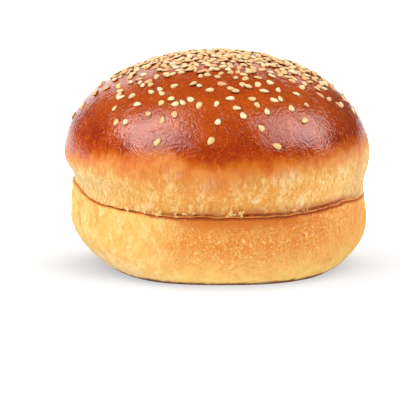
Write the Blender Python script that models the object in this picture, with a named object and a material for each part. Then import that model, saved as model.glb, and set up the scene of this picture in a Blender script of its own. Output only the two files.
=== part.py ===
"""A sesame burger bun, sliced through and set back together.

Two solids: the crown, a glazed dome over a short pale wall, with its sesame seeds fused on,
and the heel that it rests on. Metres, +Z up, with the origin in the middle of the heel's foot.
The side that faces -Y is the front.
"""

import math
import random

import bmesh
import bpy
from mathutils import Matrix, Vector

# Crown, with its dome a little to the left of its foot and its waist to the right
WIDEST_RADIUS = 0.0541
WIDEST_HEIGHT = 0.0388
CROWN_TOP = 0.0738
DOME_POWER = 0.97
DOME_LEAN = -0.0005
DOME_LEAN_FADE = (0.0420, 0.0620)
WAIST_RADIUS = 0.0515
WAIST_HEIGHT = 0.0303
WAIST_LEAN = 0.0007
WAIST_LEAN_FADE = (0.0320, 0.0388)
CROWN_EDGE_RADIUS = 0.0006

# Heel
FOOT_RADIUS = 0.0404
FOOT_CORNER_POWER = 1.16
BULGE_RADIUS = 0.0530
BULGE_HEIGHT = 0.0146
HEEL_EDGE_RADIUS = 0.0006
HEEL_LEAN = 0.0004

# The heel's foot: tucked in on its left, and a little square, both fading out upwards
LEFT_TUCK = 0.0053
TUCK_FADE = 2.5
TUCK_NARROWNESS = 8
FOOT_SQUARENESS = 0.0015
SQUARE_FADE = 5

# Cut between them: a little high at the left end and low at the right
CUT_HEIGHT = 0.0270
CUT_GAP = 0.0004
CUT_RADIUS = 0.0520
CUT_END_SHIFT = 0.0021
CUT_END_REACH = (0.84, 1.0)
CUT_END_FADE = 0.0085

# Unevenness of hand-shaped dough, as (waves round the bun, depth, turn)
OUTLINE_WAVES = ((2, 0.00035, 0.6), (3, 0.00025, 2.1), (5, 0.00015, 4.0))
WALL_WAVES = ((7, 0.00016, 1.1), (11, 0.00014, 3.0), (17, 0.00008, 5.2))
WALL_WAVES_FADE = (0.0351, 0.0491)

# Sesame: each seed
SEED_LENGTH = 0.0031
SEED_WIDTH = 0.0020
SEED_HEIGHT = 0.0008
SEED_RIM = 0.00022
SEED_BURIED = 0.0007
SEED_OUTLINE = ((1.0, 0.0), (0.10, 1.0), (-0.68, 0.78), (-1.0, 0.0), (-0.68, -0.78), (0.10, -1.0))
SEED_RIDGE = (0.22, -0.40)
SEED_SPREAD = 0.15
SEED_TILT = 0.10

# Sesame: how it is sown, thick on an oval cap and thin on the shoulder
SEED_DRAWS = 6000
FUSED_SEEDS = 270
SEED_RANDOM = 7
CAP_CENTRE = (0.0025, 0.0080)
CAP_REACH = (0.0310, 0.0250)
CAP_FADE = 10
SHOULDER_SHARE = 0.09
SHOULDER_FADE = (0.0260, 0.0545)
SEED_LIMIT = 0.0535
SEED_ROOM = 0.0019
STACK_DISTANCE = 0.0022
STACK_LIFT = 0.00035

# Faces of the turned surfaces
SEGMENTS = 56
DOME_RINGS = 12
FLARE_RINGS = 4
WALL_RINGS = 2
EDGE_RINGS = 2
HEEL_CORNER_RINGS = 7
HEEL_WALL_RINGS = 3

# Finish
CRUST_BROWN = (0.46, 0.075, 0.012, 1.0)
CRUST_ROUGHNESS = 0.3
HEEL_GOLD = (0.83, 0.38, 0.10, 1.0)
HEEL_ROUGHNESS = 0.7
SHARP_ANGLE = math.radians(30)


def smooth_step(low, high, value):
    """0 below low, 1 above high, and an even curve between them."""
    share = min(1.0, max(0.0, (value - low) / (high - low)))
    return share * share * (3.0 - 2.0 * share)


def waves(pattern, angle):
    return sum(depth * math.cos(count * angle + turn) for count, depth, turn in pattern)


def even_steps(count):
    return [step / count for step in range(1, count + 1)]


def crown_profile():
    """(radius, height) of each ring of the crown, from the cut up to just under the top."""
    rise = CROWN_TOP - WIDEST_HEIGHT
    base = CUT_HEIGHT + CUT_GAP / 2
    edge_top = base + CROWN_EDGE_RADIUS
    rings = [(CUT_RADIUS - CROWN_EDGE_RADIUS, base)]
    for share in even_steps(EDGE_RINGS):
        turn = share * math.pi / 2
        rings.append((
            CUT_RADIUS - CROWN_EDGE_RADIUS * (1 - math.sin(turn)),
            edge_top - CROWN_EDGE_RADIUS * math.cos(turn),
        ))
    for share in even_steps(WALL_RINGS):
        rings.append((WAIST_RADIUS, edge_top + (WAIST_HEIGHT - edge_top) * share))
    for share in even_steps(FLARE_RINGS):
        radius = WAIST_RADIUS + (WIDEST_RADIUS - WAIST_RADIUS) * smooth_step(0, 1, share)
        rings.append((radius, WAIST_HEIGHT + (WIDEST_HEIGHT - WAIST_HEIGHT) * share))
    for share in even_steps(DOME_RINGS)[:-1]:
        turn = share * math.pi / 2
        rings.append((
            WIDEST_RADIUS * math.cos(turn) ** DOME_POWER,
            WIDEST_HEIGHT + rise * math.sin(turn) ** DOME_POWER,
        ))
    return rings


def heel_profile():
    """(radius, height) of each ring of the heel, from the foot up to the cut."""
    top = CUT_HEIGHT - CUT_GAP / 2
    edge_base = top - HEEL_EDGE_RADIUS
    rings = [(FOOT_RADIUS, 0.0)]
    for share in even_steps(HEEL_CORNER_RINGS):
        turn = share * math.pi / 2
        rings.append((
            FOOT_RADIUS + (BULGE_RADIUS - FOOT_RADIUS) * math.sin(turn) ** FOOT_CORNER_POWER,
            BULGE_HEIGHT * (1 - math.cos(turn) ** FOOT_CORNER_POWER),
        ))
    for share in even_steps(HEEL_WALL_RINGS):
        radius = BULGE_RADIUS - (BULGE_RADIUS - CUT_RADIUS) * smooth_step(0, 1, share)
        rings.append((radius, BULGE_HEIGHT + (edge_base - BULGE_HEIGHT) * share))
    for share in even_steps(EDGE_RINGS):
        turn = share * math.pi / 2
        rings.append((
            CUT_RADIUS - HEEL_EDGE_RADIUS * (1 - math.cos(turn)),
            edge_base + HEEL_EDGE_RADIUS * math.sin(turn),
        ))
    return rings


def cut_shift(height, angle):
    """How far the cut's bend at both ends moves a point near it up or down."""
    near = 1.0 - smooth_step(0.0, CUT_END_FADE, abs(height - CUT_HEIGHT))
    end = smooth_step(*CUT_END_REACH, abs(math.cos(angle))) * math.cos(angle)
    return -CUT_END_SHIFT * near * end


def crown_point(radius, height, angle):
    """A point of the crown's skin, with the unevenness of its outline and of its wall."""
    reach = radius / WIDEST_RADIUS
    wall = 1.0 - smooth_step(*WALL_WAVES_FADE, height)
    radius += reach * waves(OUTLINE_WAVES, angle) + wall * waves(WALL_WAVES, angle)
    radius += WAIST_LEAN * (1.0 - smooth_step(*WAIST_LEAN_FADE, height)) * math.cos(angle)
    across = DOME_LEAN * smooth_step(*DOME_LEAN_FADE, height) + radius * math.cos(angle)
    return Vector((across, radius * math.sin(angle), height + cut_shift(height, angle)))


def heel_point(radius, height, angle):
    """A point of the heel's skin, tucked in low on its left, where the dough lifts off the tray."""
    lowness = min(1.0, max(0.0, 1.0 - height / (CUT_HEIGHT - CUT_GAP / 2)))
    leftness = ((1.0 - math.cos(angle)) / 2) ** TUCK_NARROWNESS
    radius -= LEFT_TUCK * lowness**TUCK_FADE * leftness
    radius -= FOOT_SQUARENESS * lowness**SQUARE_FADE * math.cos(4 * angle)
    radius += waves(OUTLINE_WAVES, angle) + (1.0 - lowness) * waves(WALL_WAVES, angle)
    across = HEEL_LEAN + radius * math.cos(angle)
    return Vector((across, radius * math.sin(angle), height + cut_shift(height, angle)))


def turned_solid(name, profile, place, top_point, bottom_point):
    """A closed solid through the rings of a profile, with a fan of faces at each end."""
    mesh = bmesh.new()
    angles = [2 * math.pi * step / SEGMENTS for step in range(SEGMENTS)]
    rings = [[mesh.verts.new(place(*ring, angle)) for angle in angles] for ring in profile]
    for lower, upper in zip(rings[:-1], rings[1:]):
        for step in range(SEGMENTS):
            after = (step + 1) % SEGMENTS
            mesh.faces.new((lower[step], lower[after], upper[after], upper[step]))
    top = mesh.verts.new(top_point)
    bottom = mesh.verts.new(bottom_point)
    for step in range(SEGMENTS):
        after = (step + 1) % SEGMENTS
        mesh.faces.new((rings[-1][step], rings[-1][after], top))
        mesh.faces.new((rings[0][after], rings[0][step], bottom))
    return object_from(name, mesh, bpy.context.scene.collection)


def object_from(name, mesh, collection):
    data = bpy.data.meshes.new(name)
    mesh.to_mesh(data)
    mesh.free()
    made = bpy.data.objects.new(name, data)
    collection.objects.link(made)
    return made


def dome_place(x, y):
    """The point of the dome over (x, y), and the way its skin faces there."""
    rise = CROWN_TOP - WIDEST_HEIGHT
    angle = math.atan2(y, x)
    turn = math.acos(min(1.0, (math.hypot(x, y) / WIDEST_RADIUS) ** (1 / DOME_POWER)))
    radius = WIDEST_RADIUS * math.cos(turn) ** DOME_POWER
    point = crown_point(radius, WIDEST_HEIGHT + rise * math.sin(turn) ** DOME_POWER, angle)
    outward = math.cos(turn) ** (2 - DOME_POWER) / WIDEST_RADIUS
    upward = math.sin(turn) ** (2 - DOME_POWER) / rise
    normal = Vector((outward * math.cos(angle), outward * math.sin(angle), upward)).normalized()
    return point, normal


def seed_share(x, y):
    """How thick the sesame is sown, as a share: full on an oval cap, and a few on the shoulder."""
    away = math.hypot((x - CAP_CENTRE[0]) / CAP_REACH[0], (y - CAP_CENTRE[1]) / CAP_REACH[1])
    cap = 1.0 / (1.0 + away**CAP_FADE)
    shoulder = SHOULDER_SHARE * (1.0 - smooth_step(*SHOULDER_FADE, math.hypot(x, y)))
    return cap + (1.0 - cap) * shoulder


def seed_places():
    """(point, normal, turn, tilt, scale, lift) of each seed, in the order in which it falls."""
    draw = random.Random(SEED_RANDOM)
    places = []
    for _ in range(SEED_DRAWS):
        flat = SEED_LIMIT * math.sqrt(draw.random())
        angle = 2 * math.pi * draw.random()
        chance = draw.random()
        turn = 2 * math.pi * draw.random()
        tilt = (draw.gauss(0, SEED_TILT), draw.gauss(0, SEED_TILT))
        scale = (1 + SEED_SPREAD * draw.uniform(-1, 1), 1 + SEED_SPREAD * draw.uniform(-1, 1))
        x, y = flat * math.cos(angle), flat * math.sin(angle)
        point, normal = dome_place(x, y)
        nearest = min(((point - other[0]).length for other in places), default=1.0)
        if chance > seed_share(x, y) or nearest < SEED_ROOM:
            continue
        lift = STACK_LIFT if nearest < STACK_DISTANCE else 0.0
        places.append((point, normal, turn, tilt, scale, lift))
    return places


def seed_matrix(point, normal, turn, tilt, scale, lift):
    """Where a seed lies: flat on the skin, turned about the normal and tilted a little."""
    lying = normal.to_track_quat("Z", "Y").to_matrix().to_4x4()
    turned = Matrix.Rotation(turn, 4, "Z")
    tilted = Matrix.Rotation(tilt[0], 4, "X") @ Matrix.Rotation(tilt[1], 4, "Y")
    sized = Matrix.Diagonal((scale[0], scale[1], 1.0, 1.0))
    return Matrix.Translation(point + normal * lift) @ lying @ turned @ tilted @ sized


def seed_mesh():
    """A flat drop with a low ridge along its back, and its underside in the crust."""
    outline = [(x * SEED_LENGTH / 2, y * SEED_WIDTH / 2) for x, y in SEED_OUTLINE]
    mesh = bmesh.new()
    under = [mesh.verts.new((x, y, -SEED_BURIED)) for x, y in outline]
    rim = [mesh.verts.new((x, y, SEED_RIM)) for x, y in outline]
    front, back = (mesh.verts.new((x * SEED_LENGTH / 2, 0.0, SEED_HEIGHT)) for x in SEED_RIDGE)
    mesh.faces.new(reversed(under))
    count = len(outline)
    for step in range(count):
        after = (step + 1) % count
        mesh.faces.new((under[step], under[after], rim[after], rim[step]))
    for corners in ((0, 1, front), (5, 0, front), (2, 3, back), (3, 4, back)):
        mesh.faces.new((rim[corners[0]], rim[corners[1]], corners[2]))
    mesh.faces.new((rim[1], rim[2], back, front))
    mesh.faces.new((rim[4], rim[5], front, back))
    data = bpy.data.meshes.new("seed")
    mesh.to_mesh(data)
    mesh.free()
    return data


def fuse_seeds(crown):
    """Unites the crown with its seeds in one cut, and removes the loose seeds."""
    loose = bpy.data.collections.new("loose_seeds")
    bpy.context.scene.collection.children.link(loose)
    shape = seed_mesh()
    for number, place in enumerate(seed_places()[:FUSED_SEEDS]):
        data = shape.copy()
        data.transform(seed_matrix(*place))
        loose.objects.link(bpy.data.objects.new(f"seed_{number:03d}", data))
    union = crown.modifiers.new("seeds", "BOOLEAN")
    union.operation = "UNION"
    union.operand_type = "COLLECTION"
    union.collection = loose
    graph = bpy.context.evaluated_depsgraph_get()
    fused = bpy.data.meshes.new_from_object(crown.evaluated_get(graph))
    crown.modifiers.remove(union)
    crown.data = fused
    for seed in list(loose.objects):
        bpy.data.objects.remove(seed)
    bpy.data.collections.remove(loose)


def finish(made, colour, roughness):
    material = bpy.data.materials.new(made.name)
    material.use_nodes = True
    shader = material.node_tree.nodes["Principled BSDF"]
    shader.inputs["Base Color"].default_value = colour
    shader.inputs["Roughness"].default_value = roughness
    shader.inputs["Metallic"].default_value = 0.0
    made.data.materials.clear()
    made.data.materials.append(material)
    made.data.shade_smooth()
    made.data.set_sharp_from_angle(angle=SHARP_ANGLE)


def make_crown():
    crown = turned_solid(
        "crown",
        crown_profile(),
        crown_point,
        Vector((DOME_LEAN, 0, CROWN_TOP)),
        Vector((0, 0, CUT_HEIGHT + CUT_GAP / 2)),
    )
    fuse_seeds(crown)
    finish(crown, CRUST_BROWN, CRUST_ROUGHNESS)


def make_heel():
    heel = turned_solid(
        "heel",
        heel_profile(),
        heel_point,
        Vector((HEEL_LEAN, 0, CUT_HEIGHT - CUT_GAP / 2)),
        Vector((HEEL_LEAN, 0, 0)),
    )
    finish(heel, HEEL_GOLD, HEEL_ROUGHNESS)


def main():
    for old in list(bpy.data.objects):
        bpy.data.objects.remove(old)
    make_crown()
    make_heel()


main()
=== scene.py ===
import math
import random

import bpy
import numpy as np
from mathutils import Matrix, Vector


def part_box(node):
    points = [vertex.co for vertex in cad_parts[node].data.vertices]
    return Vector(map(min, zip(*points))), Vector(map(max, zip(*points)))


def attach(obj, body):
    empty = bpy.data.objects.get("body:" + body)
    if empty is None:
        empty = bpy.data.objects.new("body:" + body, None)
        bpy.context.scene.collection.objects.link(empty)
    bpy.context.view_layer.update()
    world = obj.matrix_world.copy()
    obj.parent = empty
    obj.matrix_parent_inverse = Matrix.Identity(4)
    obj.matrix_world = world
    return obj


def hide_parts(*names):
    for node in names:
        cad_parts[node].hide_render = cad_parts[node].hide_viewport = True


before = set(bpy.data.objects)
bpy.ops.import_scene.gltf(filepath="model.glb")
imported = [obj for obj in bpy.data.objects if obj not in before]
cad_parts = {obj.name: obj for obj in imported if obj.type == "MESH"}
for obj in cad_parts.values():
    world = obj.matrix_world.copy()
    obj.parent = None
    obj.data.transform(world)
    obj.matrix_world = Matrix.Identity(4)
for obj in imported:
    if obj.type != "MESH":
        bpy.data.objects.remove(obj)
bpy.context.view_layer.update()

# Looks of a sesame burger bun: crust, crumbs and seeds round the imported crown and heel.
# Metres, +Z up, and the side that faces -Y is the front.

# The face that the frame stands on
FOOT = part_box("heel")[0].z

# Crown, as the solid has it
WIDEST_RADIUS = 0.0541
WIDEST_HEIGHT = 0.0388
CROWN_TOP = 0.0738
DOME_POWER = 0.97
WAIST_RADIUS = 0.0515
WAIST_HEIGHT = 0.0303
WAIST_LEAN = 0.0007
WAIST_LEAN_FADE = (0.0320, 0.0388)
CROWN_EDGE_RADIUS = 0.0006
DOME_LEAN = -0.0005
DOME_LEAN_FADE = (0.0420, 0.0620)

# Heel, as the solid has it
FOOT_RADIUS = 0.0404
FOOT_CORNER_POWER = 1.16
BULGE_RADIUS = 0.0530
BULGE_HEIGHT = 0.0146
HEEL_EDGE_RADIUS = 0.0006
HEEL_LEAN = 0.0004
LEFT_TUCK = 0.0053
TUCK_FADE = 2.5
TUCK_NARROWNESS = 8
FOOT_SQUARENESS = 0.0015
SQUARE_FADE = 5

# Cut between them, as the solids have it: a little high at the left end and low at the right
CUT_HEIGHT = 0.0270
CUT_GAP = 0.0004
CUT_RADIUS = 0.0520
CUT_TOP = CUT_HEIGHT + CUT_GAP / 2
CUT_BASE = CUT_HEIGHT - CUT_GAP / 2
CUT_END_SHIFT = 0.0021
CUT_END_REACH = (0.84, 1.0)
CUT_END_FADE = 0.0085

# Unevenness of hand-shaped dough, as (waves round the bun, depth, turn)
OUTLINE_WAVES = ((2, 0.00035, 0.6), (3, 0.00025, 2.1), (5, 0.00015, 4.0))
WALL_WAVES = ((7, 0.00016, 1.1), (11, 0.00014, 3.0), (17, 0.00008, 5.2))
WALL_WAVES_FADE = (0.0351, 0.0491)

# Sesame, sown by the rule that the solid's fused seeds follow
SEED_LENGTH = 0.0033
SEED_WIDTH = 0.0021
SEED_THICKNESS = 0.0011
SEED_BALL = {"Segments": 14, "Rings": 8, "Radius": 1.0}
SHADOW_DISC_BALL = {"Segments": 12, "Rings": 4, "Radius": 1.0}
TONE_RANDOM = 5
SEED_SPREAD = 0.15
SEED_TILT = 0.10
SEED_DRAWS = 6000
SEED_RANDOM = 7
CAP_CENTRE = (0.0025, 0.0080)
CAP_REACH = (0.0310, 0.0250)
CAP_FADE = 10
SHOULDER_SHARE = 0.09
SHOULDER_FADE = (0.0260, 0.0545)
SEED_LIMIT = 0.0535
SEED_ROOM = 0.0019
STACK_DISTANCE = 0.0022
STACK_LIFT = 0.00035

# Smaller wandering of the cut, and the curled lip of skin along its front
CUT_WAVES = ((2, 0.00012, 0.4), (5, 0.00013, 2.0), (9, 0.00011, 0.9), (16, 0.00009, 3.3),
             (27, 0.00008, 1.7), (41, 0.00006, 4.6))
CUT_WAVES_REACH = 0.0040
DROOP_WAVES = ((13, 0.00010, 0.3), (22, 0.00010, 2.8), (35, 0.00008, 5.0), (57, 0.00007, 1.2))
LIP_MIDDLE = math.radians(22)
LIP_HALF_SPREAD = math.radians(48)
LIP_FADE = math.radians(14)
LIP_THICKNESS = 0.00034
DROOP_REACH = 0.0008
EDGE_SHARE = 0.30
LIP_DROOP = 0.00026
# Stretches as (place across, reach) where the painted shade over the lip is darkest
SHADOWED_STRETCHES = ((0.0120, 0.0045), (0.0370, 0.0080))
GROOVE_DEPTH = 0.0011
GROOVE_HEIGHT = 0.0014
GROOVE_OPENS = (LIP_THICKNESS * 0.6, LIP_THICKNESS * 1.5)
GROOVE_CLOSES = (LIP_THICKNESS * 1.6, LIP_THICKNESS + GROOVE_HEIGHT)

# Crumbs on the cut, in clusters as (degrees round from the front, spread, count)
CRUMB_RANDOM = 4
CRUMB_CLUSTERS = ((6.5, 3.0, 16), (-24.5, 1.6, 6), (-13.5, 5.0, 5), (-34.0, 6.0, 5), (30.0, 8.0, 3))
CRUMB_RISE = (0.0002, 0.0018)
CRUMB_SIZE = (0.0007, 0.0014)
CRUMB_LENGTHS = (1.0, 2.2)
CRUMB_THICKNESSES = (0.6, 1.0)
CRUMB_BALL = {"Radius": 0.5, "Subdivisions": 3}

# Mesh of the turned skins
CROWN_FACES_ROUND = 640
HEEL_FACES_ROUND = 896
RING_SPACING = 0.00050
HEEL_RING_SPACING = 0.00040
LIP_RING_SPACING = 0.00016
LIP_RINGS_TO = 0.0315
LEAST_FACES_ROUND = 20
HALVED_UNDER = 0.55
PROFILE_STEPS = 400
CUT_FACE_INSETS = (0.0100, 0.0050, 0.0032, 0.0024)
CUT_FACE_RADIUS = CUT_RADIUS - 0.0020


def smooth_step(low, high, value):
    """0 below low, 1 above high, and an even curve between them."""
    share = np.clip((value - low) / (high - low), 0.0, 1.0)
    return share * share * (3.0 - 2.0 * share)


def waves(pattern, angle):
    """The sum of a pattern's waves at an angle round the bun."""
    return sum(depth * np.cos(count * angle + turn) for count, depth, turn in pattern)


# Shapes


def steps_along(profile, spacing):
    """Points at an even spacing along a profile, given as a function of a share from 0 to 1."""
    fine = np.array([profile(share) for share in np.linspace(0, 1, PROFILE_STEPS)])
    run = np.concatenate(([0.0], np.cumsum(np.hypot(*np.diff(fine, axis=0).T))))
    count = max(2, round(run[-1] / spacing))
    at = np.linspace(0, run[-1], count + 1)
    return [(np.interp(d, run, fine[:, 0]), np.interp(d, run, fine[:, 1])) for d in at]


def crown_wall(share):
    """The wall from the cut up through the flare to the widest line."""
    height = CUT_TOP + (WIDEST_HEIGHT - CUT_TOP) * share
    flare = smooth_step(WAIST_HEIGHT, WIDEST_HEIGHT, height)
    flat = WAIST_RADIUS + (WIDEST_RADIUS - WAIST_RADIUS) * flare
    return flat, height


def crown_dome(share):
    turn = share * math.pi / 2
    rise = CROWN_TOP - WIDEST_HEIGHT
    flat = WIDEST_RADIUS * math.cos(turn) ** DOME_POWER
    return flat, WIDEST_HEIGHT + rise * math.sin(turn) ** DOME_POWER


def crown_profile():
    """(radius, height) of each ring, from the cut's face up to just under the top."""
    inner = [(CUT_RADIUS - inset, CUT_TOP) for inset in CUT_FACE_INSETS]
    wall = steps_along(crown_wall, RING_SPACING)
    low = np.arange(CUT_TOP, LIP_RINGS_TO, LIP_RING_SPACING)
    lip = [crown_wall((height - CUT_TOP) / (WIDEST_HEIGHT - CUT_TOP)) for height in low]
    dome = steps_along(crown_dome, RING_SPACING)[1:-1]
    return inner + lip + [ring for ring in wall if ring[1] > low[-1] + RING_SPACING / 2] + dome


def heel_corner(share):
    turn = share * math.pi / 2
    flat = FOOT_RADIUS + (BULGE_RADIUS - FOOT_RADIUS) * math.sin(turn) ** FOOT_CORNER_POWER
    return flat, FOOT + BULGE_HEIGHT * (1 - math.cos(turn) ** FOOT_CORNER_POWER)


def heel_wall(share):
    height = BULGE_HEIGHT + (CUT_BASE - HEEL_EDGE_RADIUS - BULGE_HEIGHT) * share
    return BULGE_RADIUS - (BULGE_RADIUS - CUT_RADIUS) * smooth_step(0, 1, share), height


def heel_edge(share):
    turn = share * math.pi / 2
    return (
        CUT_RADIUS - HEEL_EDGE_RADIUS * (1 - math.cos(turn)),
        CUT_BASE - HEEL_EDGE_RADIUS * (1 - math.sin(turn)),
    )


def heel_profile():
    """(radius, height) of each ring, from the foot up to the cut's face."""
    corner = steps_along(heel_corner, HEEL_RING_SPACING)
    wall = steps_along(heel_wall, HEEL_RING_SPACING)[1:]
    edge = steps_along(heel_edge, LIP_RING_SPACING)[1:]
    inner = [(CUT_RADIUS - inset, CUT_BASE) for inset in reversed(CUT_FACE_INSETS)]
    return corner + wall + edge + inner


def from_front(angle):
    """How far round from the front a direction is, from -pi to pi, to the right as seen there."""
    return (angle + math.pi / 2 + math.pi) % (2 * math.pi) - math.pi


def lip_share(angle):
    """1 where the curled lip shows along the cut, 0 where the cut is a plain line."""
    away = np.abs(from_front(angle) - LIP_MIDDLE)
    return 1.0 - smooth_step(LIP_HALF_SPREAD - LIP_FADE, LIP_HALF_SPREAD + LIP_FADE, away)


def cut_shift(height, angle):
    """How far the wandering of the cut moves a point near it up or down."""
    away = np.abs(height - CUT_HEIGHT)
    ends = smooth_step(*CUT_END_REACH, np.abs(np.cos(angle))) * np.cos(angle)
    far = 1.0 - smooth_step(0.0, CUT_END_FADE, away)
    near = 1.0 - smooth_step(0.0, CUT_WAVES_REACH, away)
    return near * waves(CUT_WAVES, angle) - far * CUT_END_SHIFT * ends


def crown_place(radius, height, angle):
    """Points of the crown's skin: uneven outline and wall, and the lip and groove at the cut."""
    reach = radius / WIDEST_RADIUS
    wall = 1.0 - smooth_step(*WALL_WAVES_FADE, height)
    flat = radius + reach * waves(OUTLINE_WAVES, angle) + wall * waves(WALL_WAVES, angle)
    flat = flat + WAIST_LEAN * (1.0 - smooth_step(*WAIST_LEAN_FADE, height)) * np.cos(angle)
    over = height - CUT_TOP
    lip = lip_share(angle)
    in_groove = smooth_step(*GROOVE_OPENS, over) * (1.0 - smooth_step(*GROOVE_CLOSES, over))
    flat = flat - lip * GROOVE_DEPTH * in_groove
    droop = np.clip(waves(DROOP_WAVES, angle) + LIP_DROOP * lip, 0.0, LIP_DROOP)
    droop = droop * (1.0 - smooth_step(0.0, DROOP_REACH, over))
    sunk = np.clip(1.0 - over / CROWN_EDGE_RADIUS, 0.0, 1.0)
    round_edge = CROWN_EDGE_RADIUS * (1.0 - np.sqrt(1.0 - sunk**2))
    if radius > CUT_FACE_RADIUS:
        flat = flat - EDGE_SHARE * round_edge
    lean = DOME_LEAN * smooth_step(*DOME_LEAN_FADE, height)
    rise = height + cut_shift(height, angle) - droop
    return lean + flat * np.cos(angle), flat * np.sin(angle), rise


def heel_place(radius, height, angle):
    """Points of the heel's skin, tucked in low on its left, with a slightly square foot."""
    lowness = np.clip(1.0 - height / CUT_BASE, 0.0, 1.0)
    leftness = ((1.0 - np.cos(angle)) / 2) ** TUCK_NARROWNESS
    flat = radius - LEFT_TUCK * lowness**TUCK_FADE * leftness
    flat = flat - FOOT_SQUARENESS * lowness**SQUARE_FADE * np.cos(4 * angle)
    flat = flat + waves(OUTLINE_WAVES, angle) + (1.0 - lowness) * waves(WALL_WAVES, angle)
    rise = height + cut_shift(height, angle)
    return HEEL_LEAN + flat * np.cos(angle), flat * np.sin(angle), rise


def faces_round(radius, widest, most):
    """How many faces a ring has: halved each time that the ring is half as wide."""
    count = most
    while radius < HALVED_UNDER * widest and count > LEAST_FACES_ROUND:
        count //= 2
        widest /= 2
    return count


def bridge(lower, upper):
    """Faces between two rings of vertex numbers, with as many in each or half as many above."""
    faces = []
    if len(lower) == len(upper):
        for step in range(len(lower)):
            after = (step + 1) % len(lower)
            faces.append((lower[step], lower[after], upper[after], upper[step]))
        return faces
    for step in range(len(upper)):
        first, middle = lower[2 * step], lower[2 * step + 1]
        last = lower[(2 * step + 2) % len(lower)]
        after = (step + 1) % len(upper)
        faces += [(first, middle, upper[step]), (middle, upper[after], upper[step])]
        faces.append((middle, last, upper[after]))
    return faces


def turned_skin(name, profile, place, most, top, bottom):
    """A closed mesh through the rings of a profile, with a fan of faces to a point at each end.

    Each point also holds its level, the height that it has before the cut's wandering moves it,
    and its lip, the share of the curled lip at its place round the bun.
    """
    widest = max(radius for radius, height in profile)
    points, faces, rings = [], [], []
    levels, lips = [], []
    for number, (radius, height) in enumerate(profile):
        above = number > len(profile) / 2
        count = faces_round(radius, widest, most) if above else most
        angles = np.arange(count) * 2 * math.pi / count
        x, y, z = place(radius, height, angles)
        rings.append(range(len(points), len(points) + count))
        points += list(zip(x, y, z + np.zeros(count)))
        levels += [height] * count
        lips += list(lip_share(angles))
    for lower, upper in zip(rings[:-1], rings[1:]):
        faces += bridge(lower, upper)
    for ring, tip, order in ((rings[-1], top, (0, 1)), (rings[0], bottom, (1, 0))):
        centre = len(points)
        points.append(tip)
        levels.append(tip[2])
        lips.append(0.0)
        for step in range(len(ring)):
            pair = (ring[step], ring[(step + 1) % len(ring)])
            faces.append((pair[order[0]], pair[order[1]], centre))
    mesh = bpy.data.meshes.new(name)
    mesh.from_pydata(points, [], faces)
    for label, values in (("level", levels), ("lip", lips)):
        mesh.attributes.new(label, "FLOAT", "POINT").data.foreach_set("value", values)
    return mesh


def dome_point(x, y):
    """The point of the dome over (x, y), and the way its skin faces there."""
    rise = CROWN_TOP - WIDEST_HEIGHT
    angle = math.atan2(y, x)
    turn = math.acos(min(1.0, (math.hypot(x, y) / WIDEST_RADIUS) ** (1 / DOME_POWER)))
    radius, height = crown_dome(turn / (math.pi / 2))
    point = Vector(float(part) for part in crown_place(radius, height, angle))
    outward = math.cos(turn) ** (2 - DOME_POWER) / WIDEST_RADIUS
    upward = math.sin(turn) ** (2 - DOME_POWER) / rise
    normal = Vector((outward * math.cos(angle), outward * math.sin(angle), upward)).normalized()
    return point, normal


def seed_share(x, y):
    """How thick the sesame is sown, as a share: full on an oval cap, and a few on the shoulder."""
    away = math.hypot((x - CAP_CENTRE[0]) / CAP_REACH[0], (y - CAP_CENTRE[1]) / CAP_REACH[1])
    cap = 1.0 / (1.0 + away**CAP_FADE)
    shoulder = SHOULDER_SHARE * (1.0 - smooth_step(*SHOULDER_FADE, math.hypot(x, y)))
    return cap + (1.0 - cap) * shoulder


def sown_seeds():
    """(point, matrix of its axes, size) of each seed, in the order in which it falls."""
    draw = random.Random(SEED_RANDOM)
    points, seeds = np.zeros((0, 3)), []
    for _ in range(SEED_DRAWS):
        flat = SEED_LIMIT * math.sqrt(draw.random())
        angle = 2 * math.pi * draw.random()
        chance = draw.random()
        turn = 2 * math.pi * draw.random()
        tilt = (draw.gauss(0, SEED_TILT), draw.gauss(0, SEED_TILT))
        size = (1 + SEED_SPREAD * draw.uniform(-1, 1), 1 + SEED_SPREAD * draw.uniform(-1, 1))
        x, y = flat * math.cos(angle), flat * math.sin(angle)
        point, normal = dome_point(x, y)
        nearest = np.linalg.norm(points - np.array(point), axis=1).min() if seeds else 1.0
        if chance > seed_share(x, y) or nearest < SEED_ROOM:
            continue
        lift = STACK_LIFT if nearest < STACK_DISTANCE else 0.0
        lying = normal.to_track_quat("Z", "Y").to_matrix()
        turned = Matrix.Rotation(turn, 3, "Z")
        tilted = Matrix.Rotation(tilt[0], 3, "X") @ Matrix.Rotation(tilt[1], 3, "Y")
        points = np.vstack((points, np.array(point)))
        seeds.append((point + normal * lift, lying @ turned @ tilted, size))
    return seeds


# Geometry Nodes


def add(tree, kind, values=None, **settings):
    """One node of a tree, with its settings, and each input set to a value or linked to a socket."""
    node = tree.nodes.new(kind)
    for name, value in settings.items():
        setattr(node, name, value)
    for name, value in (values or {}).items():
        if isinstance(value, bpy.types.NodeSocket):
            tree.links.new(value, node.inputs[name])
        else:
            node.inputs[name].default_value = value
    return node


def calc(tree, operation, *values):
    """The result of one sum on numbers or sockets."""
    node = add(tree, "ShaderNodeMath", dict(enumerate(values)), operation=operation)
    return node.outputs[0]


def total(tree, first, *others):
    """Numbers or sockets added up."""
    for other in others:
        first = calc(tree, "ADD", first, other)
    return first


def times(tree, first, *others):
    """Numbers or sockets multiplied."""
    for other in others:
        first = calc(tree, "MULTIPLY", first, other)
    return first


def minus(tree, value, less):
    """A value less another."""
    return calc(tree, "SUBTRACT", value, less)


def away_from(tree, value, middle):
    """How far a value is from a middle, on either side."""
    return calc(tree, "ABSOLUTE", minus(tree, value, middle))


def fade(tree, value, low, high, start=0.0, end=1.0):
    """A socket that goes smoothly from start to end as value goes from low to high."""
    values = {0: value, 1: low, 2: high, 3: start, 4: end}
    return add(tree, "ShaderNodeMapRange", values, interpolation_type="SMOOTHSTEP").outputs[0]


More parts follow.
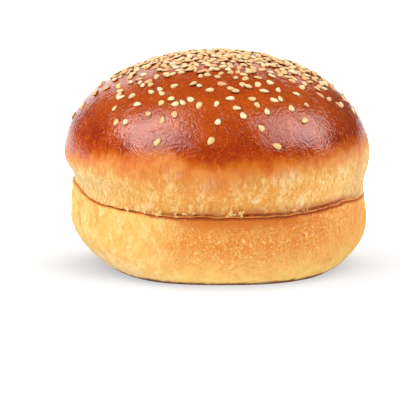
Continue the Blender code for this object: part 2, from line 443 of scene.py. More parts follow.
def axes_of(tree, vector):
    """The X, Y and Z of a vector socket."""
    return add(tree, "ShaderNodeSeparateXYZ", {0: vector}).outputs


def stretched(tree, vector, along):
    """A vector socket scaled along each axis."""
    node = add(tree, "ShaderNodeVectorMath", {0: vector, 1: along}, operation="MULTIPLY")
    return node.outputs[0]


def upright(tree, place, share):
    """A place with a share of its height: noise on it is drawn out upwards, or sideways past 1."""
    return stretched(tree, place, (1.0, 1.0, share))


def noise(tree, vector, size, detail=2.0, roughness=0.5, distortion=0.0):
    """Soft noise from 0 to 1 whose lumps are about size across, in metres or as a socket."""
    values = {"Vector": vector, "Scale": calc(tree, "DIVIDE", 1.0, size), "Detail": detail}
    values.update({"Roughness": roughness, "Distortion": distortion})
    return add(tree, "ShaderNodeTexNoise", values).outputs[0]


def centred(tree, value, depth):
    """Noise from 0 to 1 turned into a height from minus half a depth to half a depth."""
    return times(tree, minus(tree, value, 0.5), depth)


def position(tree):
    """Where each point is."""
    return add(tree, "GeometryNodeInputPosition").outputs[0]


def held(tree, name):
    """The vector that each point holds under a name."""
    node = add(tree, "GeometryNodeInputNamedAttribute", {"Name": name}, data_type="FLOAT_VECTOR")
    return node.outputs[0]


def store(tree, geometry, name, value, domain):
    """Geometry that also holds a number under a name."""
    values = {"Geometry": geometry, "Name": name, "Value": value}
    node = add(tree, "GeometryNodeStoreNamedAttribute", values, data_type="FLOAT", domain=domain)
    return node.outputs[0]


def realized(tree, geometry):
    """Geometry with its instances made into mesh."""
    return add(tree, "GeometryNodeRealizeInstances", {"Geometry": geometry}).outputs[0]


def strewn(tree, points, thing):
    """A thing set on each point, as that point says how it lies and how large it is."""
    values = {"Points": points, "Instance": thing}
    values.update({"Rotation": held(tree, "lie"), "Scale": held(tree, "grow")})
    return add(tree, "GeometryNodeInstanceOnPoints", values).outputs[0]


def sized_tree(name, sizes):
    """A new Geometry Nodes tree with a named input for each size, and its input and output nodes."""
    tree = bpy.data.node_groups.new(name, "GeometryNodeTree")
    tree.interface.new_socket(name="Geometry", in_out="INPUT", socket_type="NodeSocketGeometry")
    for label, value in sizes.items():
        kind = "NodeSocketMaterial" if isinstance(value, bpy.types.Material) else "NodeSocketFloat"
        tree.interface.new_socket(name=label, in_out="INPUT", socket_type=kind)
    tree.interface.new_socket(name="Geometry", in_out="OUTPUT", socket_type="NodeSocketGeometry")
    return tree, tree.nodes.new("NodeGroupInput").outputs, tree.nodes.new("NodeGroupOutput")


def push_out(tree, geometry, height, material, outlet):
    """Ends a tree: moves each point out along its normal, and sets the material."""
    normal = add(tree, "GeometryNodeInputNormal").outputs[0]
    offset = add(tree, "ShaderNodeVectorMath", {0: normal, "Scale": height}, operation="SCALE")
    values = {"Geometry": geometry, "Offset": offset.outputs[0]}
    moved = add(tree, "GeometryNodeSetPosition", values).outputs[0]
    values = {"Geometry": realized(tree, moved), "Material": material}
    finished = add(tree, "GeometryNodeSetMaterial", values).outputs[0]
    tree.links.new(finished, outlet.inputs[0])


def grown(name, start, tree, sizes):
    """The plain mesh object, shaded smooth, that a tree makes from a start mesh and its sizes."""
    seedling = bpy.data.objects.new(name + "_start", start)
    bpy.context.scene.collection.objects.link(seedling)
    modifier = seedling.modifiers.new(name, "NODES")
    modifier.node_group = tree
    for item in tree.interface.items_tree:
        if item.in_out == "INPUT" and item.name in sizes:
            modifier[item.identifier] = sizes[item.name]
    graph = bpy.context.evaluated_depsgraph_get()
    mesh = bpy.data.meshes.new_from_object(seedling.evaluated_get(graph), depsgraph=graph)
    mesh.name = name
    mesh.shade_smooth()
    bpy.data.objects.remove(seedling)
    made = bpy.data.objects.new(name, mesh)
    bpy.context.scene.collection.objects.link(made)
    return made


def crown_relief(material):
    """Skin of the crown: slow swells, fine wrinkles of the glaze, and stretch marks down the wall."""
    sizes = {
        "Glaze from": 0.0400,
        "Glaze to": 0.0470,
        "Swell depth": 0.0003,
        "Swell size": 0.015,
        "Skin depth": 0.00012,
        "Skin size": 0.0022,
        "Stretch depth": 0.00042,
        "Stretch size": 0.0012,
        "Lump depth": 0.0009,
        "Lump size": 0.0050,
        "Still below": CUT_TOP + LIP_THICKNESS,
        "Moving above": CUT_TOP + 0.0030,
        "Crust": material,
    }
    tree, inlet, outlet = sized_tree("crown relief", sizes)
    place = position(tree)
    height = axes_of(tree, place)["Z"]
    glaze = fade(tree, height, inlet["Glaze from"], inlet["Glaze to"])
    wall = minus(tree, 1.0, glaze)
    swell = centred(tree, noise(tree, place, inlet["Swell size"], 1.0), inlet["Swell depth"])
    skin = noise(tree, place, inlet["Skin size"], 3.0, 0.55, 0.8)
    skin = times(tree, centred(tree, skin, inlet["Skin depth"]), glaze)
    stretch = noise(tree, upright(tree, place, 0.45), inlet["Stretch size"], 2.0, 0.55, 0.6)
    lump = noise(tree, upright(tree, place, 0.6), inlet["Lump size"], 2.0)
    rough = total(
        tree,
        centred(tree, stretch, inlet["Stretch depth"]),
        centred(tree, lump, inlet["Lump depth"]),
    )
    relief = total(tree, swell, skin, times(tree, rough, wall))
    moving = fade(tree, height, inlet["Still below"], inlet["Moving above"])
    push_out(tree, inlet["Geometry"], times(tree, relief, moving), inlet["Crust"], outlet)
    return tree, sizes


def heel_relief(material):
    """Skin of the heel: lumps, upright stretch marks under the cut, and a grain of short flecks."""
    sizes = {
        "Lump depth": 0.0007,
        "Lump size": 0.0085,
        "Stretch depth": 0.00040,
        "Stretch size": 0.0012,
        "Fleck depth": 0.00030,
        "Fleck size": 0.0010,
        "Stretch from": 0.0130,
        "Stretch to": 0.0230,
        "Still below": FOOT,
        "Moving above": FOOT + 0.0012,
        "Moving under": CUT_BASE - 0.0020,
        "Still above": CUT_BASE - 0.0003,
        "Crust": material,
    }
    tree, inlet, outlet = sized_tree("heel relief", sizes)
    place = position(tree)
    height = axes_of(tree, place)["Z"]
    near_cut = fade(tree, height, inlet["Stretch from"], inlet["Stretch to"])
    lump = centred(tree, noise(tree, place, inlet["Lump size"], 2.0), inlet["Lump depth"])
    stretch = noise(tree, upright(tree, place, 0.32), inlet["Stretch size"], 2.0, 0.55, 0.6)
    stretch = times(tree, centred(tree, stretch, inlet["Stretch depth"]), near_cut)
    fleck = noise(tree, place, inlet["Fleck size"], 2.0, 0.55, 1.4)
    fleck = centred(tree, fleck, inlet["Fleck depth"])
    relief = total(tree, lump, stretch, fleck)
    low = fade(tree, height, inlet["Still below"], inlet["Moving above"])
    high = fade(tree, height, inlet["Moving under"], inlet["Still above"], 1.0, 0.0)
    moving = times(tree, low, high)
    push_out(tree, inlet["Geometry"], times(tree, relief, moving), inlet["Crust"], outlet)
    return tree, sizes


def seed_tree(material):
    """Sesame on points that hold how each seed lies: an egg pointed at one end, over a dark disc.

    Each point also holds how far up the seed it is, from -1 to 1; -1 is the disc of painted shadow.
    """
    sizes = {
        "Length": SEED_LENGTH,
        "Width": SEED_WIDTH,
        "Thickness": SEED_THICKNESS,
        "Taper": 0.34,
        # The disc: a thin sheet of dark glaze under each seed that paints its contact shadow
        "Shadow disc reach": 1.12,
        "Shadow disc thickness": 0.00030,
        "Dent depth": 0.00012,
        "Dent size": 0.0011,
        "Seed skin": material,
    }
    tree, inlet, outlet = sized_tree("sesame", sizes)
    place = position(tree)
    axes = axes_of(tree, place)
    slim = minus(tree, 1.0, times(tree, axes["X"], inlet["Taper"]))
    halves = [times(tree, inlet[side], 0.5) for side in ("Length", "Width", "Thickness")]
    along = times(tree, axes["X"], halves[0])
    across = times(tree, axes["Y"], halves[1], slim)
    up = times(tree, axes["Z"], halves[2], slim)
    drop = add(tree, "ShaderNodeCombineXYZ", {"X": along, "Y": across, "Z": up}).outputs[0]
    seed = add(tree, "GeometryNodeMeshUVSphere", SEED_BALL).outputs[0]
    seed = store(tree, seed, "along", axes["X"], "POINT")
    seed = store(tree, seed, "up", axes["Z"], "POINT")
    seed = add(tree, "GeometryNodeSetPosition", {"Geometry": seed, "Position": drop}).outputs[0]
    reach = [times(tree, half, inlet["Shadow disc reach"]) for half in halves[:2]]
    flat = times(tree, inlet["Shadow disc thickness"], 0.5)
    extent = add(tree, "ShaderNodeCombineXYZ", {"X": reach[0], "Y": reach[1], "Z": flat}).outputs[0]
    # Painted contact shadow: a flat dark disc under the seed
    shadow_disc = add(tree, "GeometryNodeMeshUVSphere", SHADOW_DISC_BALL).outputs[0]
    shadow_disc = store(tree, shadow_disc, "up", -1.0, "POINT")
    shadow_disc = add(tree, "GeometryNodeTransform", {"Geometry": shadow_disc, "Scale": extent}).outputs[0]
    both = add(tree, "GeometryNodeJoinGeometry")
    tree.links.new(seed, both.inputs[0])
    tree.links.new(shadow_disc, both.inputs[0])
    sown = strewn(tree, inlet["Geometry"], both.outputs[0])
    tone = add(tree, "FunctionNodeRandomValue", {"Seed": TONE_RANDOM}, data_type="FLOAT").outputs[1]
    toned = store(tree, sown, "tone", tone, "INSTANCE")
    dents = centred(tree, noise(tree, place, inlet["Dent size"], 1.0), inlet["Dent depth"])
    push_out(tree, realized(tree, toned), dents, inlet["Seed skin"], outlet)
    return tree, sizes


def crumb_tree(material):
    """Crumbs on points that hold how each lies: small knobbly lumps."""
    sizes = {"Roughness depth": 0.00030, "Roughness size": 0.00035, "Crumb": material}
    tree, inlet, outlet = sized_tree("crumbs", sizes)
    lump = add(tree, "GeometryNodeMeshIcoSphere", CRUMB_BALL).outputs[0]
    crumbs = strewn(tree, inlet["Geometry"], lump)
    rough = noise(tree, position(tree), inlet["Roughness size"], 2.0)
    rough = centred(tree, rough, inlet["Roughness depth"])
    push_out(tree, realized(tree, crumbs), rough, inlet["Crumb"], outlet)
    return tree, sizes


def point_mesh(name, points, lies, grows):
    """A mesh of bare points that hold how each thing lies and how large it is."""
    mesh = bpy.data.meshes.new(name)
    mesh.from_pydata(points, [], [])
    for label, values in (("lie", lies), ("grow", grows)):
        flat = [part for value in values for part in value]
        mesh.attributes.new(label, "FLOAT_VECTOR", "POINT").data.foreach_set("vector", flat)
    return mesh


def seed_points():
    points, lies, sizes = zip(*sown_seeds())
    grows = [(size[0], size[1], 1.0) for size in sizes]
    return point_mesh("seed points", points, [lie.to_euler() for lie in lies], grows)


def crumb_points():
    draw = random.Random(CRUMB_RANDOM)
    points, lies, grows = [], [], []
    for middle, spread, count in CRUMB_CLUSTERS:
        for _ in range(count):
            angle = math.radians(middle + spread * draw.uniform(-1, 1)) - math.pi / 2
            over = draw.uniform(*CRUMB_RISE)
            radius, height = crown_wall(over / (WIDEST_HEIGHT - CUT_TOP))
            points.append([float(part) for part in crown_place(radius, height, angle)])
            lies.append([draw.uniform(0, math.pi) for _ in range(3)])
            size = draw.uniform(*CRUMB_SIZE)
            long, thick = draw.uniform(*CRUMB_LENGTHS), draw.uniform(*CRUMB_THICKNESSES)
            grows.append((size * long, size, size * thick))
    return point_mesh("crumb points", points, lies, grows)


# Materials

WALL_ROUGHNESS = 0.62
GLAZE_ROUGHNESS = 0.10
GLAZE_EDGE = (0.0415, 0.0480)
HEEL_ROUGHNESS = 0.66
HEEL_SPECULAR = 0.2
SEED_ROUGHNESS = 0.40
CRUMB_ROUGHNESS = 0.75
FRONT_MIDDLE = 0.003
TOAST_MIDDLE = 0.010


def tint(red, green, blue):
    """A colour as a screen shows it, from 0 to 255, made linear."""
    shares = [part / 255 for part in (red, green, blue)]
    return [c / 12.92 if c <= 0.04045 else ((c + 0.055) / 1.055) ** 2.4 for c in shares] + [1.0]


def mix(tree, share, low, high):
    """A colour between two colours or colour sockets."""
    node = add(tree, "ShaderNodeMix", {0: share, 6: low, 7: high}, data_type="RGBA")
    return node.outputs[2]


def layered(tree, base, *layers):
    """A colour with others laid over it in turn, each given as a share and its red, green, blue."""
    for share, colour in layers:
        base = mix(tree, share, base, tint(*colour))
    return base


def rising(tree, value, low, high, share):
    """Nothing where a value is under low, and a share where it is over high."""
    return fade(tree, value, low, high, 0.0, share)


def falling(tree, value, low, high, share):
    """A share where a value is under low, and nothing where it is over high."""
    return fade(tree, value, low, high, share, 0.0)


def new_material(name):
    """A material, its tree, its shader and its point socket."""
    material = bpy.data.materials.new(name)
    material.use_nodes = True
    tree = material.node_tree
    point = add(tree, "ShaderNodeTexCoord").outputs["Object"]
    return material, tree, tree.nodes["Principled BSDF"], point


def bumped(tree, shader, *layers):
    """Adds bumps to a shader: each layer is a height socket and a depth in metres."""
    normal = None
    for height, depth in layers:
        values = {"Height": height, "Distance": depth, "Strength": 1.0}
        if normal is not None:
            values["Normal"] = normal
        normal = add(tree, "ShaderNodeBump", values).outputs[0]
    tree.links.new(normal, shader.inputs["Normal"])


def read(tree, name):
    """The number that a piece holds under a name."""
    return add(tree, "ShaderNodeAttribute", {}, attribute_name=name).outputs["Fac"]


def contours(tree, value, count, low):
    """Rises from 0 to 1 along the contour lines of noise, of which there are count from 0 to 1."""
    ripple = calc(tree, "SINE", times(tree, value, 2 * math.pi * count))
    return fade(tree, ripple, low, 1.0)


def side_share(tree, across, drift, full, none):
    """0 in the middle of the front, 1 at the bun's ends, with an uneven border."""
    return fade(tree, away_from(tree, total(tree, across, drift), FRONT_MIDDLE), none, full)


def wall_colour(tree, point, across, patch, blotch, wrinkle):
    """Pale gold stretched dough: greyer at the bun's ends, torn, streaked, wrinkled and folded."""
    side = side_share(tree, across, centred(tree, blotch, 0.020), 0.046, 0.010)
    ends = side_share(tree, across, centred(tree, blotch, 0.010), 0.050, 0.034)
    sides = mix(tree, fade(tree, across, 0.0, 0.020), tint(218, 168, 82), tint(240, 184, 92))
    tear = noise(tree, upright(tree, point, 0.6), 0.0075, 3.0, 0.6)
    streak = noise(tree, upright(tree, point, 0.35), 0.0017, 2.0, 0.55, 0.8)
    fold = noise(tree, upright(tree, point, 0.28), 0.0026, 2.0, 0.5, 0.8)
    fold = times(tree, contours(tree, fold, 6, 0.30), fade(tree, patch, 0.36, 0.56))
    return layered(
        tree,
        mix(tree, side, tint(224, 154, 54), sides),
        (ends, (214, 182, 108)),
        (rising(tree, patch, 0.46, 0.68, 0.62), (246, 208, 130)),
        (falling(tree, patch, 0.26, 0.44, 0.45), (214, 136, 34)),
        (rising(tree, tear, 0.54, 0.66, 0.55), (252, 224, 164)),
        (falling(tree, tear, 0.34, 0.44, 0.40), (216, 138, 42)),
        (falling(tree, streak, 0.30, 0.46, 0.50), (208, 130, 34)),
        (rising(tree, streak, 0.58, 0.74, 0.55), (250, 224, 160)),
        # Wrinkles that the bump raises: partly the dough's tones, partly painted highlight on ridges
        # and shade in troughs
        (falling(tree, wrinkle, 0.34, 0.46, 0.60), (202, 118, 30)),
        (rising(tree, wrinkle, 0.56, 0.68, 0.45), (252, 228, 166)),
        (times(tree, fold, 0.45), (194, 108, 26)),
    )


def glaze_colour(tree, point, height, across, crease):
    """Deep brown egg glaze: darkest to the right, and lighter between a low band and the top."""
    mottle = noise(tree, upright(tree, point, 0.6), 0.0075, 4.0, 0.6)
    speck = noise(tree, upright(tree, point, 0.35), 0.00055, 2.0, 0.6)
    band = times(
        tree,
        fade(tree, height, 0.0482, 0.0512),
        falling(tree, height, 0.0512, 0.0565, 0.35),
        fade(tree, across, -0.036, -0.018),
    )
    return layered(
        tree,
        mix(tree, fade(tree, mottle, 0.30, 0.70), tint(142, 38, 7), tint(179, 69, 15)),
        (rising(tree, height, 0.050, 0.064, 0.45), (186, 86, 24)),
        (rising(tree, across, 0.030, 0.052, 0.5), (116, 30, 2)),
        (rising(tree, height, 0.064, 0.068, 0.35), (146, 46, 6)),
        (band, (136, 32, 3)),
        (falling(tree, height, 0.0470, 0.0505, 0.30), (198, 76, 14)),
        (rising(tree, speck, 0.57, 0.69, 0.60), (224, 114, 26)),
        (falling(tree, speck, 0.29, 0.40, 0.6), (118, 30, 1)),
        # Painted shade: the glaze is darker along its creases
        (rising(tree, crease, 0.75, 1.0, 0.3), (112, 28, 1)),
    )


def glaze_height(tree, point, height, across):
    """The height that browning goes by: it wanders, and is raised or lowered round the front."""
    drift = centred(tree, noise(tree, point, 0.010, 3.0), 0.0060)
    fringe = centred(tree, noise(tree, upright(tree, point, 0.3), 0.0016, 3.0), 0.0036)
    left = fade(tree, across, -0.054, -0.036, 0.0028, 0.0)
    right = fade(tree, across, 0.020, 0.034, 0.0, -0.0014)
    thin = fade(tree, away_from(tree, across, -0.021), 0.002, 0.014, -0.0026, 0.0006)
    return total(tree, height, drift, fringe, left, right, thin)


def crown_cut_colour(tree, point, across, skin):
    """The skin's colour with its edge at the cut: browned, with painted shade over the curled lip."""
    ragged = centred(tree, noise(tree, point, 0.0009, 3.0, 0.6), 0.0014)
    over = minus(tree, total(tree, read(tree, "level"), ragged), CUT_TOP)
    # Real browning and painted shade in the groove over the lip, darkest in two stretches
    browning = fade(tree, noise(tree, point, 0.0040, 2.0), 0.36, 0.60, 0.18, 0.7)
    for place, reach in SHADOWED_STRETCHES:
        painted_shadow = falling(tree, away_from(tree, across, place), 0.6 * reach, 1.2 * reach, 0.85)
        browning = calc(tree, "MAXIMUM", browning, painted_shadow)
    browning = times(tree, browning, fade(tree, over, 0.0008, 0.0040, 1.0, 0.0))
    shaded = layered(tree, skin, (browning, (174, 70, 10)))
    curl = mix(tree, fade(tree, over, 0.0002, 0.0004), tint(242, 150, 64), shaded)
    plain = mix(tree, fade(tree, over, 0.0001, 0.0004), tint(204, 116, 40), skin)
    return mix(tree, read(tree, "lip"), plain, curl)


def crown_crust():
    """Brown egg glaze on the dome, orange where it thins, and pale gold stretched dough below."""
    material, tree, shader, point = new_material("crown crust")
    axes = axes_of(tree, point)
    across, height = axes["X"], axes["Z"]
    patch = noise(tree, upright(tree, point, 0.8), 0.0040, 2.0, 0.5, 0.4)
    blotch = noise(tree, point, 0.0090, 3.0, 0.55)
    wrinkle = noise(tree, upright(tree, point, 0.35), 0.0008, 2.0, 0.6, 1.0)
    crease = noise(tree, upright(tree, point, 1.2), 0.0068, 1.3, 0.5, 0.5)
    shown = fade(tree, noise(tree, point, 0.0034, 1.0), 0.36, 0.60, 0.35, 1.0)
    crease = times(tree, contours(tree, crease, 12, -1.0), shown)

    browned = glaze_height(tree, point, height, across)
    from_middle = calc(tree, "ABSOLUTE", total(tree, across, 0.013, centred(tree, blotch, 0.020)))
    start = fade(tree, from_middle, 0.015, 0.027, 0.0320, 0.0380)
    wall = wall_colour(tree, point, across, patch, blotch, wrinkle)
    orange = mix(tree, fade(tree, patch, 0.35, 0.65), tint(208, 102, 15), tint(220, 129, 35))
    brown = glaze_colour(tree, point, height, across, crease)
    skin = mix(tree, fade(tree, browned, start, 0.0455), wall, orange)
    skin = mix(tree, fade(tree, browned, 0.0430, 0.0490), skin, brown)
    skin = crown_cut_colour(tree, point, across, skin)
    tree.links.new(skin, shader.inputs["Base Color"])

    roughness = fade(tree, browned, *GLAZE_EDGE, WALL_ROUGHNESS, GLAZE_ROUGHNESS)
    tree.links.new(roughness, shader.inputs["Roughness"])
    glazed = fade(tree, browned, *GLAZE_EDGE)
    dull = minus(tree, 1.0, glazed)
    ripple = noise(tree, point, 0.0011, 0.5, 0.5, 0.8)
    bumped(
        tree,
        shader,
        (times(tree, ripple, glazed), 0.00011),
        (times(tree, crease, glazed), -0.000037),
        (times(tree, wrinkle, dull), 0.00045),
    )
    return material


def heel_wall_colour(tree, left, pale, patch, blotch, cloud):
    """Golden crust in slow clouds, pale at its ends, with paler blotches on its left."""
    ends = mix(tree, left, tint(244, 186, 94), tint(228, 186, 98))
    return layered(
        tree,
        mix(tree, pale, tint(226, 135, 42), ends),
        (rising(tree, patch, 0.42, 0.65, 0.25), (236, 166, 70)),
        (times(tree, left, rising(tree, blotch, 0.46, 0.62, 0.55)), (252, 222, 152)),
        (times(tree, left, falling(tree, blotch, 0.34, 0.46, 0.50)), (232, 160, 62)),
        (falling(tree, cloud, 0.34, 0.46, 0.50), (212, 112, 32)),
        (rising(tree, cloud, 0.54, 0.66, 0.45), (248, 184, 92)),
    )


def heel_cut_colour(tree, point, across, grain, base):
    """The skin's colour with its edge at the cut: toasted in front, and shaded by the curled lip."""
    ragged = centred(tree, noise(tree, point, 0.0009, 3.0, 0.6), 0.0016)
    under = minus(tree, CUT_BASE, total(tree, read(tree, "level"), ragged))
    from_toast = away_from(tree, across, TOAST_MIDDLE)
    toast = mix(tree, fade(tree, from_toast, 0.014, 0.030), tint(212, 112, 30), base)
    speckled = total(tree, under, centred(tree, grain, 0.011))
    toasted = mix(tree, fade(tree, speckled, 0.0010, 0.0062), toast, base)
    shadow = mix(tree, fade(tree, under, 0.0004, 0.0009), tint(176, 82, 26), toasted)
    plain = mix(tree, fade(tree, under, 0.0001, 0.0003), tint(218, 140, 60), base)
    return mix(tree, read(tree, "lip"), plain, shadow)


def heel_crust():
    """Matte golden crust: toasted in front and under the cut, paler at its ends, and low down partly
    from painted bounce light.
    """
    material, tree, shader, point = new_material("heel crust")
    axes = axes_of(tree, point)
    height = axes["Z"]
    streak = noise(tree, upright(tree, point, 0.3), 0.0009, 3.0, 0.6, 1.0)
    grain = noise(tree, point, 0.0006, 2.0, 0.6, 2.2)
    patch = noise(tree, point, 0.0060, 3.0, 0.6)
    blotch = noise(tree, upright(tree, point, 0.7), 0.0032, 3.0, 0.55, 0.8)
    cloud = noise(tree, upright(tree, point, 0.8), 0.0085, 3.0, 0.6, 0.5)
    curls = noise(tree, upright(tree, point, 0.7), 0.0026, 1.0, 0.5, 1.2)
    shown = fade(tree, noise(tree, point, 0.0012, 1.0), 0.36, 0.54)
    fleck = times(tree, contours(tree, curls, 7, 0.10), shown)

    high = fade(tree, height, 0.016, 0.024)
    low = total(tree, height, centred(tree, cloud, 0.016))
    across = total(tree, axes["X"], centred(tree, patch, 0.018))
    left = falling(tree, minus(tree, across, times(tree, high, 0.006)), -0.030, -0.008, 1.0)
    right = rising(tree, across, 0.028, 0.060, 0.55)
    pale = calc(tree, "MAXIMUM", left, right)
    base = heel_wall_colour(tree, left, pale, patch, blotch, cloud)
    # Low down: partly the crust's paler band, partly painted bounce light from the floor
    cream_and_bounce_light = mix(tree, left, tint(252, 208, 118), tint(253, 218, 150))
    cream_and_bounce_light = layered(tree, cream_and_bounce_light, (falling(tree, blotch, 0.40, 0.60, 0.55), (244, 184, 86)))
    base = mix(tree, fade(tree, low, 0.0030, 0.0180), cream_and_bounce_light, base)
    floury = times(tree, fade(tree, low, 0.0040, 0.0110), fade(tree, pale, 0.0, 1.0, 1.0, 0.40))
    lined = times(tree, high, fade(tree, left, 0.0, 1.0, 0.55, 0.70))
    base = layered(
        tree,
        base,
        (times(tree, floury, falling(tree, grain, 0.34, 0.50, 0.90)), (216, 106, 26)),
        (times(tree, floury, rising(tree, grain, 0.54, 0.70, 0.55)), (250, 196, 112)),
        (times(tree, floury, fleck, 0.85), (254, 208, 126)),
        (times(tree, lined, falling(tree, streak, 0.30, 0.44, 0.5)), (214, 132, 42)),
        (times(tree, lined, rising(tree, streak, 0.56, 0.70, 0.5)), (254, 226, 160)),
    )
    base = heel_cut_colour(tree, point, across, grain, base)
    # Dark brown line at the foot: its browned edge, and a painted contact shadow where it meets the
    # floor
    foot = total(tree, height, centred(tree, noise(tree, point, 0.0030, 3.0), 0.0020))
    base = mix(tree, fade(tree, foot, 0.0014, 0.0029), tint(116, 58, 16), base)
    tree.links.new(base, shader.inputs["Base Color"])
    shader.inputs["Roughness"].default_value = HEEL_ROUGHNESS
    shader.inputs["Specular IOR Level"].default_value = HEEL_SPECULAR
    bumped(
        tree,
        shader,
        (grain, 0.00012),
        (times(tree, streak, high), 0.00024),
        (times(tree, fleck, floury), 0.00010),
    )
    return material


def seed_skin():
    """Hulled sesame: cream, tan at its rim, toasted at its point, and painted shadow at its base and
    disc.
    """
    material, tree, shader, point = new_material("sesame skin")
    tone, along, up = read(tree, "tone"), read(tree, "along"), read(tree, "up")
    blotch = centred(tree, noise(tree, point, 0.0010, 2.0), 0.7)
    base = layered(
        tree,
        mix(tree, fade(tree, tone, 0.0, 0.7), tint(248, 224, 176), tint(234, 194, 130)),
        (fade(tree, tone, 0.78, 0.86), (236, 176, 122)),
        (rising(tree, total(tree, along, blotch), 0.45, 1.0, 0.55), (196, 134, 70)),
    )
    edge = total(tree, up, centred(tree, noise(tree, point, 0.0006, 2.0), 0.6))
    base = mix(tree, fade(tree, edge, 0.12, 0.80), tint(202, 148, 86), base)
    # Painted contact shadow: dark brown at the seed's base and on its disc
    base = mix(tree, fade(tree, up, -0.20, 0.16), tint(132, 62, 18), base)
    tree.links.new(base, shader.inputs["Base Color"])
    shader.inputs["Roughness"].default_value = SEED_ROUGHNESS
    bumped(tree, shader, (noise(tree, point, 0.0004, 2.0), 0.00003))
    return material


def crumb_skin():
    """Torn dough: cream with golden edges."""
    material, tree, shader, point = new_material("crumb")
    mottle = noise(tree, point, 0.0005, 2.0)
    base = mix(tree, fade(tree, mottle, 0.38, 0.60), tint(214, 140, 56), tint(250, 220, 150))
    tree.links.new(base, shader.inputs["Base Color"])
    shader.inputs["Roughness"].default_value = CRUMB_ROUGHNESS
    bumped(tree, shader, (noise(tree, point, 0.0003, 2.0), 0.00005))
    return material


# Pieces


def make_crown():
    tips = (DOME_LEAN, 0.0, CROWN_TOP), (0.0, 0.0, CUT_TOP)
    mesh = turned_skin("crown start", crown_profile(), crown_place, CROWN_FACES_ROUND, *tips)
    made = grown("crown_crust", mesh, *crown_relief(crown_crust()))
    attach(made, "root")
    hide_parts("crown")


def make_heel():
    tips = (HEEL_LEAN, 0.0, CUT_BASE), (HEEL_LEAN, 0.0, FOOT)
    mesh = turned_skin("heel start", heel_profile(), heel_place, HEEL_FACES_ROUND, *tips)
    made = grown("heel_crust", mesh, *heel_relief(heel_crust()))
    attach(made, "root")
    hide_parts("heel")


def make_seeds():
    made = grown("sesame_seeds", seed_points(), *seed_tree(seed_skin()))
    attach(made, "root")


def make_crumbs():
    made = grown("crumbs", crumb_points(), *crumb_tree(crumb_skin()))
    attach(made, "root")


# Stage

FLOOR_HALF = 3.0
PAPER_GLOW = 1.55
PAPER_GREY = (0.15, 0.15, 0.15, 1.0)
PAPER_ROUGHNESS = 0.9
# Painted shadow: a soft oval under the bun where the floor's glow is lower
SHADE_EDGE_GLOW = 0.84
SHADE_GLOW = 0.50
SHADE_CENTRE = (-0.0015, -0.0110, 0.0)
SHADE_REACH = (0.0635, 0.0345)
SHADE_FADE = (0.60, 1.03)
SHADE_PAST = 1.6
PAPER_SIDE = (0.080, 0.096)
PAPER_SIDE_FROM = (0.12, 0.22)
PAPER_SIDE_SHARE = 0.66
CAMERA_ELEVATION = math.radians(14.0)
CAMERA_DISTANCE = 1.0
CAMERA_TARGET = Vector((-0.0063, 0.0, 0.0208))
CAMERA_LENS = 250.4
SENSOR = 36.0
LIGHT_DISTANCE = 0.9
LIGHT_TARGET = Vector((0.0, 0.0, 0.045))
WHITE = (1.0, 1.0, 1.0, 1.0)

# The room's brightness, and that of its wall behind the bun, which the glaze's rim mirrors
ROOM_GLOW = 0.08
BACK_WALL_GLOW = 1.6
BACK_WALL_LEFT = (-0.72, -0.27)
BACK_WALL_RIGHT = (0.05, 0.30)
BACK_WALL_TOP = (0.12, 0.42)
LEAST_DEPTH = 0.05

# Softboxes, as (name, azimuth, elevation, width, height, roll, radiance), in degrees
SOFTBOXES = (
    ("left_box", -68, 49, 56, 48, -30, 2.4),
    ("left_core", -74, 47, 34, 36, -30, 4.0),
    ("right_box", 86, 46, 50, 40, -44, 3.3),
    ("right_core", 89, 42, 24, 22, -44, 2.2),
    ("back_box", -178, 26, 46, 11, 0, 2.0),
)


def towards(azimuth, elevation):
    """The direction of a place as seen from the bun: azimuth from the front to the right."""
    flat = math.cos(elevation)
    return Vector((flat * math.sin(azimuth), -flat * math.cos(azimuth), math.sin(elevation)))


def make_softbox(name, azimuth, elevation, width, height, roll, radiance):
    """A softbox facing the bun, as wide and high in degrees as the bun sees it."""
    data = bpy.data.lights.new(name, "AREA")
    data.shape = "RECTANGLE"
    data.size = 2 * LIGHT_DISTANCE * math.tan(math.radians(width / 2))
    data.size_y = 2 * LIGHT_DISTANCE * math.tan(math.radians(height / 2))
    data.energy = radiance * math.pi * data.size * data.size_y
    light = bpy.data.objects.new(name, data)
    bpy.context.scene.collection.objects.link(light)
    out = towards(math.radians(azimuth), math.radians(elevation))
    turned = Matrix.Rotation(math.radians(roll), 3, "Z")
    light.location = LIGHT_TARGET + LIGHT_DISTANCE * out
    light.rotation_euler = (out.to_track_quat("Z", "Y").to_matrix() @ turned).to_euler()


def make_room():
    """A dim room with a bright stretch low on its back wall."""
    world = bpy.data.worlds.new("studio")
    bpy.context.scene.world = world
    world.use_nodes = True
    tree = world.node_tree
    axes = axes_of(tree, add(tree, "ShaderNodeTexCoord").outputs["Generated"])
    side = calc(tree, "DIVIDE", axes["X"], calc(tree, "MAXIMUM", axes["Y"], LEAST_DEPTH))
    left = fade(tree, side, *BACK_WALL_LEFT)
    right = fade(tree, side, *BACK_WALL_RIGHT, 1.0, 0.0)
    low = fade(tree, axes["Z"], *BACK_WALL_TOP, 1.0, 0.0)
    strength = fade(tree, times(tree, left, right, low), 0.0, 1.0, ROOM_GLOW, BACK_WALL_GLOW)
    tree.links.new(strength, tree.nodes["Background"].inputs["Strength"])
    tree.nodes["Background"].inputs["Color"].default_value = WHITE


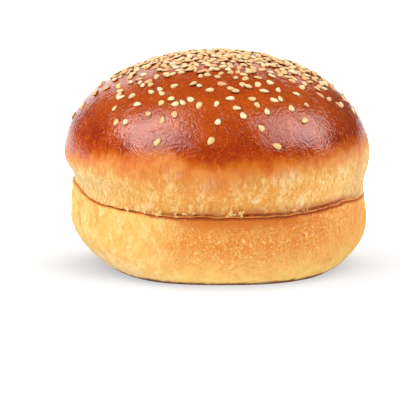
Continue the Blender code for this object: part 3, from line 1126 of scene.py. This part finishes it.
def make_floor():
    """White paper that glows so that it stays white, but for a painted soft shadow under the bun.

    It glows less behind and past the sides of the picture, where only the glaze's rims mirror it.
    """
    mesh = bpy.data.meshes.new("floor")
    sides = ((-1, -1), (1, -1), (1, 1), (-1, 1))
    corners = [(x * FLOOR_HALF, y * FLOOR_HALF, FOOT) for x, y in sides]
    mesh.from_pydata(corners, [], [(0, 1, 2, 3)])
    floor = bpy.data.objects.new("floor", mesh)
    bpy.context.scene.collection.objects.link(floor)
    material, tree, shader, point = new_material("white paper")
    values = {0: point, 1: SHADE_CENTRE}
    from_shade = add(tree, "ShaderNodeVectorMath", values, operation="SUBTRACT").outputs[0]
    shares = stretched(tree, from_shade, (1 / SHADE_REACH[0], 1 / SHADE_REACH[1], 0.0))
    away = add(tree, "ShaderNodeVectorMath", {0: shares}, operation="LENGTH").outputs["Value"]
    # painted shadow: the glow drops in the oval under the bun
    shade = fade(tree, away, *SHADE_FADE, SHADE_GLOW, SHADE_EDGE_GLOW)
    beyond = rising(tree, away, SHADE_FADE[1], SHADE_PAST, PAPER_GLOW - SHADE_EDGE_GLOW)
    axes = axes_of(tree, point)
    depth = total(tree, calc(tree, "MAXIMUM", axes["Y"], 0.0), CAMERA_DISTANCE)
    out = calc(tree, "DIVIDE", away_from(tree, axes["X"], CAMERA_TARGET.x), depth)
    past = times(tree, fade(tree, out, *PAPER_SIDE), fade(tree, axes["Y"], *PAPER_SIDE_FROM))
    seen = fade(tree, past, 0.0, 1.0, 1.0, PAPER_SIDE_SHARE)
    glow = times(tree, total(tree, shade, beyond), seen)
    tree.links.new(glow, shader.inputs["Emission Strength"])
    shader.inputs["Emission Color"].default_value = WHITE
    shader.inputs["Base Color"].default_value = PAPER_GREY
    shader.inputs["Roughness"].default_value = PAPER_ROUGHNESS
    shader.inputs["Specular IOR Level"].default_value = 0.0
    mesh.materials.append(material)


def make_camera():
    data = bpy.data.cameras.new("camera")
    data.sensor_width = SENSOR
    data.lens = CAMERA_LENS
    camera = bpy.data.objects.new("camera", data)
    bpy.context.scene.collection.objects.link(camera)
    back = towards(0.0, CAMERA_ELEVATION)
    camera.location = CAMERA_TARGET + CAMERA_DISTANCE * back
    camera.rotation_euler = back.to_track_quat("Z", "Y").to_euler()
    bpy.context.scene.camera = camera


make_crown()
make_heel()
make_seeds()
make_crumbs()
make_floor()
for softbox in SOFTBOXES:
    make_softbox(*softbox)
make_room()
make_camera()
bpy.context.scene.view_settings.view_transform = "Standard"
